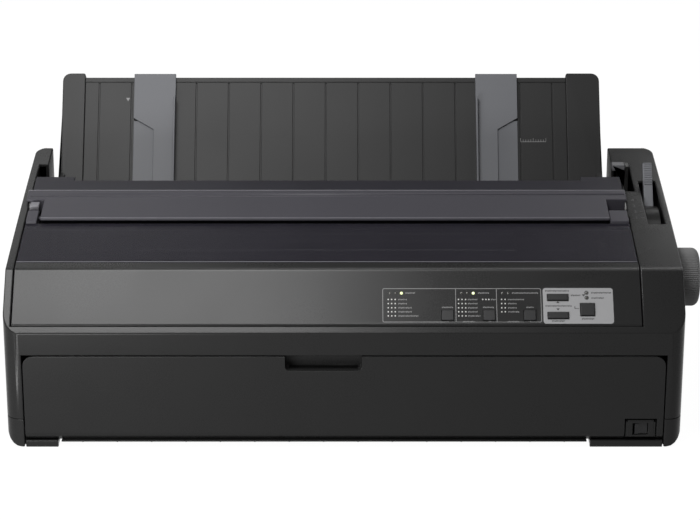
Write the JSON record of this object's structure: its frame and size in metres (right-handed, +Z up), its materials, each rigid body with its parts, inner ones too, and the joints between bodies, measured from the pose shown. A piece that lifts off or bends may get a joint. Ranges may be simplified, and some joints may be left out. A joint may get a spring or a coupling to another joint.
{
  "type": "dot matrix printer",
  "caption": "Wide-carriage impact printer with a hinged window flap, front door, control panel, paper knob and leaning rear sheet guide over a working print mechanism.",
  "frame": {"origin": "on the desk below the middle of the whole object's box", "axes": "+X to the printer's right, +Y to its rear, +Z up"},
  "size_m": [0.6392, 0.374, 0.2576],
  "materials": {
    "charcoal_plastic": "finely textured moulded plastic",
    "violet_charcoal_plastic": "finely textured moulded plastic",
    "dark_plastic": "satin moulded plastic",
    "smoked_plastic": "smoked translucent plastic",
    "black_plastic": "moulded plastic",
    "gray_plastic": "satin moulded plastic",
    "label_film": "printed film",
    "lamp_lens": "clear lens",
    "rubber": "matte rubber",
    "sheet_steel": "zinc plated",
    "ground_steel": "ground and polished",
    "white_nylon": "natural nylon",
    "circuit_board": "solder mask",
    "head_metal": "die cast, dark"
  },
  "bodies": {
    "case": {"lower_case": "charcoal_plastic", "upper_case": "charcoal_plastic", "rubber_feet": "rubber", "control_panel_cover": "charcoal_plastic", "control_panel_label": "label_film", "control_circuit_board": "circuit_board", "indicator_lights": "lamp_lens", "front_paper_guide": "black_plastic", "rear_paper_guide": "black_plastic", "power_switch_housing": "dark_plastic", "feed_motor": "sheet_steel", "tractor_support_shaft": "ground_steel", "tractor_bodies": "white_nylon", "left_side_frame": "sheet_steel", "right_side_frame": "sheet_steel", "base_frame": "sheet_steel", "carriage_shaft": "ground_steel", "carriage_rail": "sheet_steel", "ribbon_cartridge": "black_plastic", "carriage_belt": "rubber", "carriage_motor": "sheet_steel", "lever_bracket": "sheet_steel", "main_circuit_board": "circuit_board", "power_supply": "sheet_steel", "power_inlet": "black_plastic", "interface_sockets": "sheet_steel"},
    "exit_cover": {"paper_exit_cover": "violet_charcoal_plastic", "rear_smoked_strip": "smoked_plastic"},
    "window": {"window_flap": "smoked_plastic"},
    "door": {"front_door": "charcoal_plastic"},
    "rear_guide": {"sheet_guide": "charcoal_plastic", "sheet_guide_caps": "charcoal_plastic"},
    "left_edge": {"left_edge_guide": "gray_plastic"},
    "right_edge": {"right_edge_guide": "gray_plastic"},
    "platen": {"platen_knob": "dark_plastic", "platen_shaft": "ground_steel", "platen_roller": "rubber", "platen_gear": "white_nylon"},
    "front_idler": {"front_idler_gear": "white_nylon"},
    "rear_idler": {"rear_idler_gear": "white_nylon"},
    "tractor_drive": {"tractor_gear": "white_nylon", "tractor_drive_shaft": "ground_steel", "tractor_wheels": "dark_plastic"},
    "feed_drive": {"feed_pinion": "white_nylon"},
    "left_flap": {"left_tractor_flap": "dark_plastic"},
    "right_flap": {"right_tractor_flap": "dark_plastic"},
    "carriage": {"print_carriage": "black_plastic", "print_head": "head_metal"},
    "drive_wheel": {"drive_pulley": "white_nylon"},
    "idler_wheel": {"idler_pulley": "white_nylon"},
    "thickness": {"thickness_lever": "gray_plastic"},
    "release": {"release_lever": "gray_plastic"},
    "rocker": {"power_rocker": "black_plastic"},
    "font_key": {"font_button": "dark_plastic"},
    "pitch_key": {"pitch_button": "dark_plastic"},
    "tear_off_key": {"tear_off_button": "dark_plastic"},
    "load_eject_key": {"load_eject_button": "dark_plastic"},
    "line_feed_key": {"line_feed_button": "dark_plastic"},
    "pause_key": {"pause_button": "dark_plastic"}
  },
  "joints": [
    {"name": "exit_cover_hinge", "type": "hinge", "parent": "case", "child": "exit_cover", "pos_m": [-0.0116, 0.02496, 0.176], "axis": [-1, 0, 0], "range_deg": [0, 60]},
    {"name": "window_flap_hinge", "type": "hinge", "parent": "exit_cover", "child": "window", "pos_m": [-0.0116, -0.04104, 0.17297], "axis": [-1, 0, 0], "range_deg": [0, 100]},
    {"name": "front_door_hinge", "type": "hinge", "parent": "case", "child": "door", "pos_m": [-0.0116, -0.17904, 0.0159], "axis": [1, 0, 0], "range_deg": [0, 90]},
    {"name": "sheet_guide_tilt", "type": "hinge", "parent": "case", "child": "rear_guide", "pos_m": [-0.0116, 0.09696, 0.16], "axis": [-1, 0, 0], "range_deg": [0, 50]},
    {"name": "left_edge_guide_slide", "type": "slide", "parent": "rear_guide", "child": "left_edge", "axis": [1, 0, 0], "range_m": [-0.045, 0.12]},
    {"name": "right_edge_guide_slide", "type": "slide", "parent": "rear_guide", "child": "right_edge", "axis": [1, 0, 0], "range_m": [-0.12, 0.045]},
    {"name": "platen_spin", "type": "hinge", "parent": "case", "child": "platen", "pos_m": [-0.0116, -0.08004, 0.1285], "axis": [1, 0, 0], "continuous": true},
    {"name": "front_idler_spin", "type": "hinge", "parent": "case", "child": "front_idler", "pos_m": [0.2334, -0.03474, 0.12051], "axis": [1, 0, 0], "continuous": true},
    {"name": "rear_idler_spin", "type": "hinge", "parent": "case", "child": "rear_idler", "pos_m": [0.2334, 0.01719, 0.11779], "axis": [1, 0, 0], "continuous": true},
    {"name": "tractor_spin", "type": "hinge", "parent": "case", "child": "tractor_drive", "pos_m": [-0.0116, 0.05809, 0.12065], "axis": [1, 0, 0], "continuous": true},
    {"name": "feed_motor_spin", "type": "hinge", "parent": "case", "child": "feed_drive", "pos_m": [0.2334, -0.07176, 0.09759], "axis": [1, 0, 0], "continuous": true},
    {"name": "left_tractor_flap_hinge", "type": "hinge", "parent": "case", "child": "left_flap", "pos_m": [-0.2316, 0.07909, 0.13165], "axis": [-1, 0, 0], "range_deg": [0, 85]},
    {"name": "right_tractor_flap_hinge", "type": "hinge", "parent": "case", "child": "right_flap", "pos_m": [0.1704, 0.07909, 0.13165], "axis": [-1, 0, 0], "range_deg": [0, 85]},
    {"name": "carriage_slide", "type": "slide", "parent": "case", "child": "carriage", "axis": [1, 0, 0], "range_m": [0, 0.37]},
    {"name": "drive_pulley_spin", "type": "hinge", "parent": "case", "child": "drive_wheel", "pos_m": [-0.2476, -0.12704, 0.082], "axis": [0, 0, 1], "continuous": true},
    {"name": "idler_pulley_spin", "type": "hinge", "parent": "case", "child": "idler_wheel", "pos_m": [0.1964, -0.12704, 0.082], "axis": [0, 0, 1], "continuous": true},
    {"name": "thickness_lever_turn", "type": "hinge", "parent": "case", "child": "thickness", "pos_m": [0.2824, -0.01744, 0.1295], "axis": [1, 0, 0], "range_deg": [0, 70]},
    {"name": "release_lever_turn", "type": "hinge", "parent": "case", "child": "release", "pos_m": [0.2654, 0.03496, 0.06], "axis": [-1, 0, 0], "range_deg": [-18, 0]},
    {"name": "power_rocker_tilt", "type": "hinge", "parent": "case", "child": "rocker", "pos_m": [0.2582, -0.17904, 0.0187], "axis": [0, 0, 1], "range_deg": [-14, 0]},
    {"name": "font_button_press", "type": "slide", "parent": "case", "child": "font_key", "axis": [0, 0.7378, -0.675], "range_m": [0, 0.001], "stiffness_N_per_m": 500},
    {"name": "pitch_button_press", "type": "slide", "parent": "case", "child": "pitch_key", "axis": [0, 0.7378, -0.675], "range_m": [0, 0.001], "stiffness_N_per_m": 500},
    {"name": "tear_off_button_press", "type": "slide", "parent": "case", "child": "tear_off_key", "axis": [0, 0.7378, -0.675], "range_m": [0, 0.001], "stiffness_N_per_m": 500},
    {"name": "load_eject_button_press", "type": "slide", "parent": "case", "child": "load_eject_key", "axis": [0, 0.7378, -0.675], "range_m": [0, 0.001], "stiffness_N_per_m": 500},
    {"name": "line_feed_button_press", "type": "slide", "parent": "case", "child": "line_feed_key", "axis": [0, 0.7378, -0.675], "range_m": [0, 0.001], "stiffness_N_per_m": 500},
    {"name": "pause_button_press", "type": "slide", "parent": "case", "child": "pause_key", "axis": [0, 0.7378, -0.675], "range_m": [0, 0.001], "stiffness_N_per_m": 500}
  ],
  "couplings": [
    {"joint": "front_idler_spin", "follows": "platen_spin", "ratio": -0.76923},
    {"joint": "rear_idler_spin", "follows": "platen_spin", "ratio": 0.76923},
    {"joint": "tractor_spin", "follows": "platen_spin", "ratio": -1.3333},
    {"joint": "feed_motor_spin", "follows": "platen_spin", "ratio": -1.6667},
    {"joint": "drive_pulley_spin", "follows": "carriage_slide", "rad_per_m": 104.17},
    {"joint": "idler_pulley_spin", "follows": "carriage_slide", "rad_per_m": 104.17}
  ]
}
